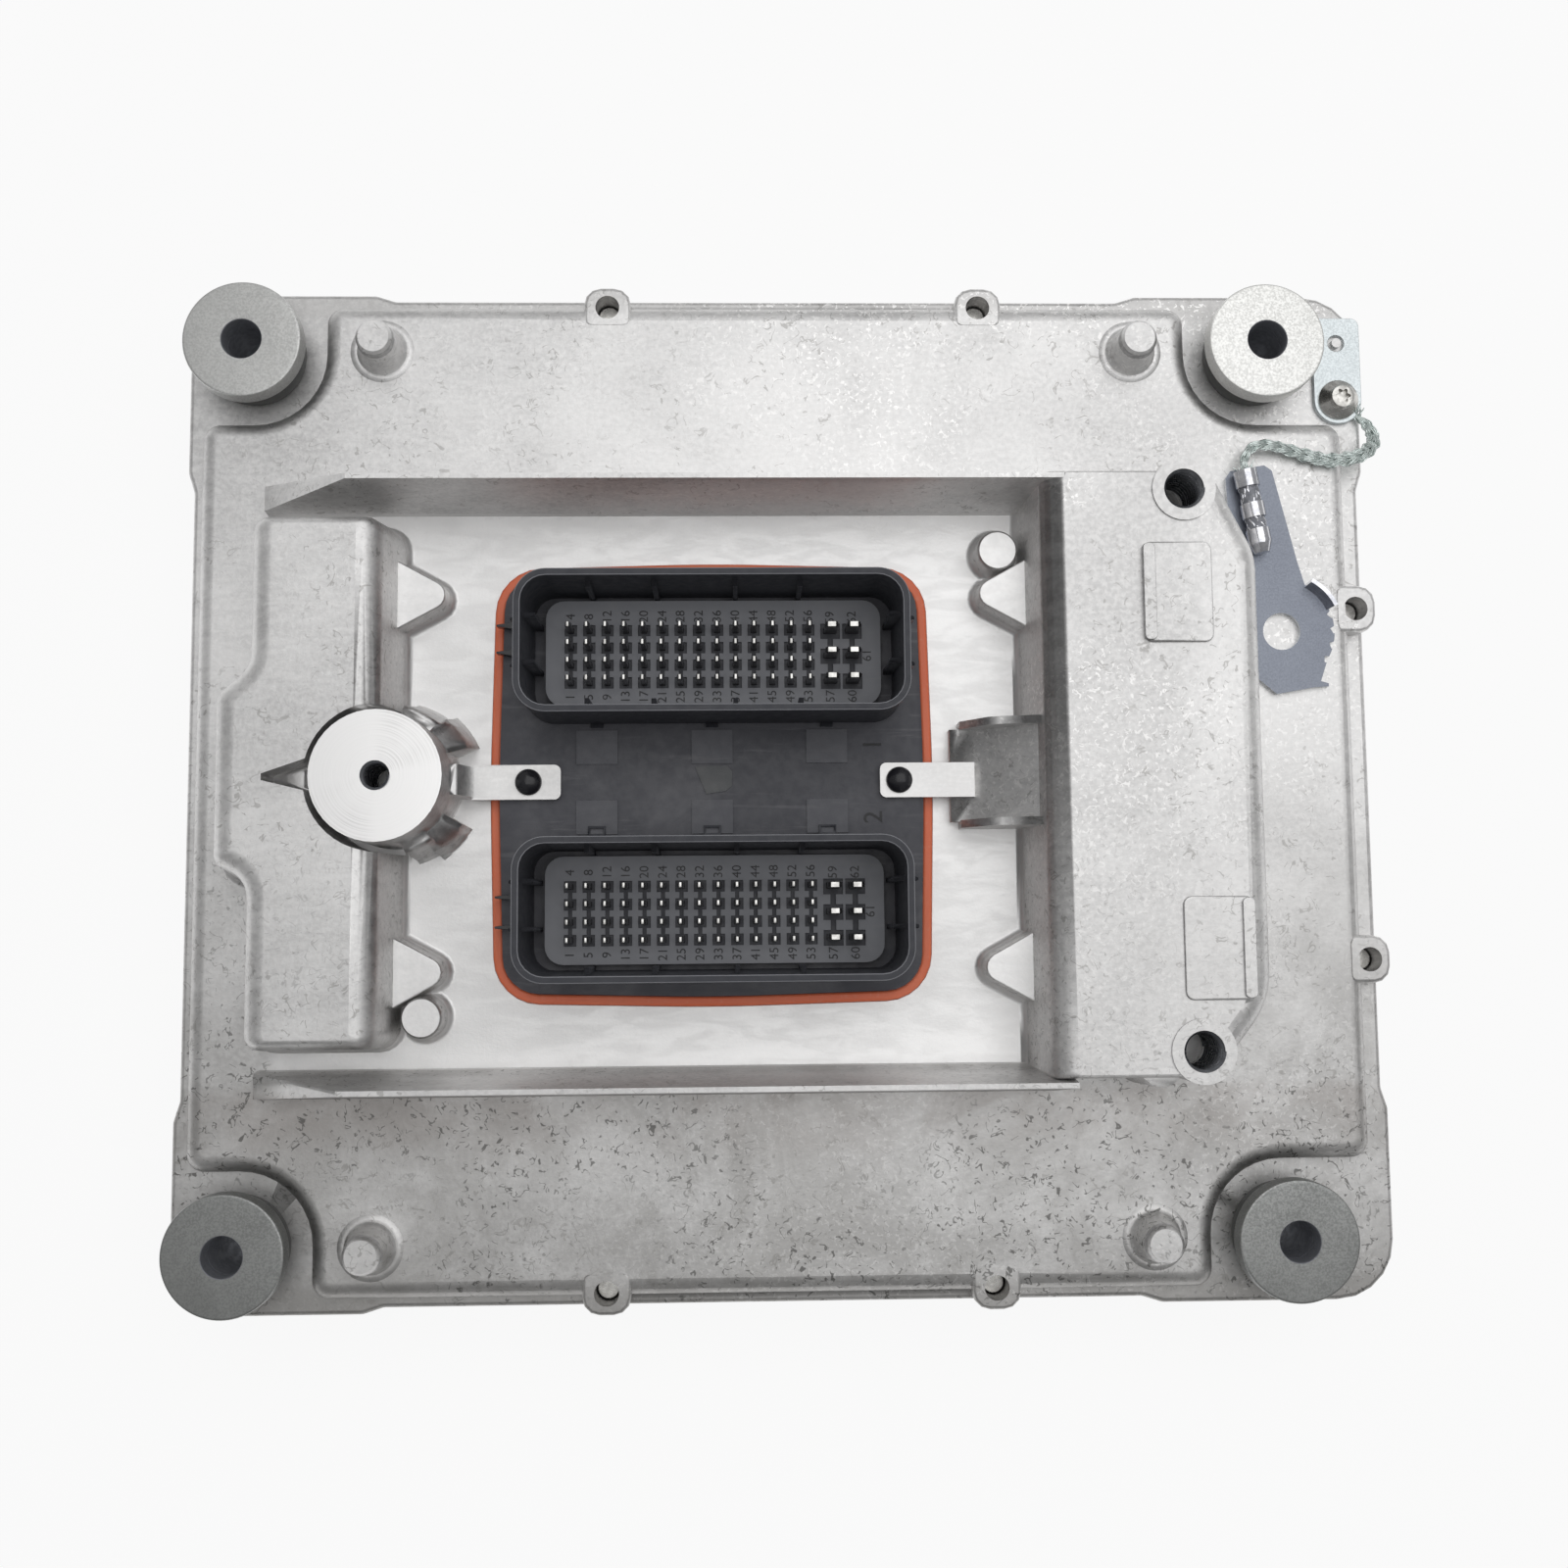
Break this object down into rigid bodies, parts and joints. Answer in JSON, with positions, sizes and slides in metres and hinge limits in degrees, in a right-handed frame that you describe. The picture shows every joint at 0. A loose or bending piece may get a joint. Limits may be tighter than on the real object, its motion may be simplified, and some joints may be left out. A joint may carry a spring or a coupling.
{
  "type": "engine control unit",
  "caption": "Die-cast engine control unit with twin multi-way sockets, rubber corner bushes, locating pins, a machined boss and an earth lead.",
  "frame": {"origin": "centre of the four mounting bolts, on the mounting plane under the bushes", "axes": "+X across the width towards the earth lead, +Y towards the upper socket, +Z out of the sockets"},
  "size_m": [0.2721, 0.2284, 0.054],
  "materials": {
    "cast_aluminium": "as cast, matt",
    "cover_aluminium": "rolled sheet",
    "header_plastic": "moulded, fine matt",
    "red_silicone": "satin",
    "seal_rubber": "matt",
    "tinned_contact": "tinned",
    "zinc_steel": "zinc plated",
    "bush_rubber": "matt",
    "terminal_steel": "tinned, dull",
    "tinned_braid": "woven",
    "board_laminate": "solder mask",
    "chip_plastic": "moulded",
    "component_metal": "drawn can",
    "ferrite": "sintered",
    "ceramic": "fired",
    "thermal_pad": "soft"
  },
  "bodies": {
    "root": {"housing": "cast_aluminium", "rear_cover": "cover_aluminium", "cover_gasket": "seal_rubber", "cover_screws": "zinc_steel", "connector_header": "header_plastic", "header_gasket": "red_silicone", "signal_pins_a": "tinned_contact", "signal_pins_b": "tinned_contact", "power_blades_a": "tinned_contact", "power_blades_b": "tinned_contact", "bush_washers": "zinc_steel", "bush_rubbers": "bush_rubber", "bush_sleeves": "zinc_steel", "lower_washers": "zinc_steel", "earth_plate": "zinc_steel", "earth_screw": "zinc_steel", "earth_braid": "tinned_braid", "ring_terminal": "terminal_steel", "circuit_board": "board_laminate", "board_screws": "zinc_steel", "microcontroller": "chip_plastic", "flash_memory": "chip_plastic", "crystal": "component_metal", "driver_chips": "chip_plastic", "thermal_pads": "thermal_pad", "voltage_regulators": "chip_plastic", "storage_capacitors": "component_metal", "power_inductors": "ferrite", "air_pressure_sensor": "component_metal", "ceramic_capacitors": "ceramic"}
  },
  "joints": []
}
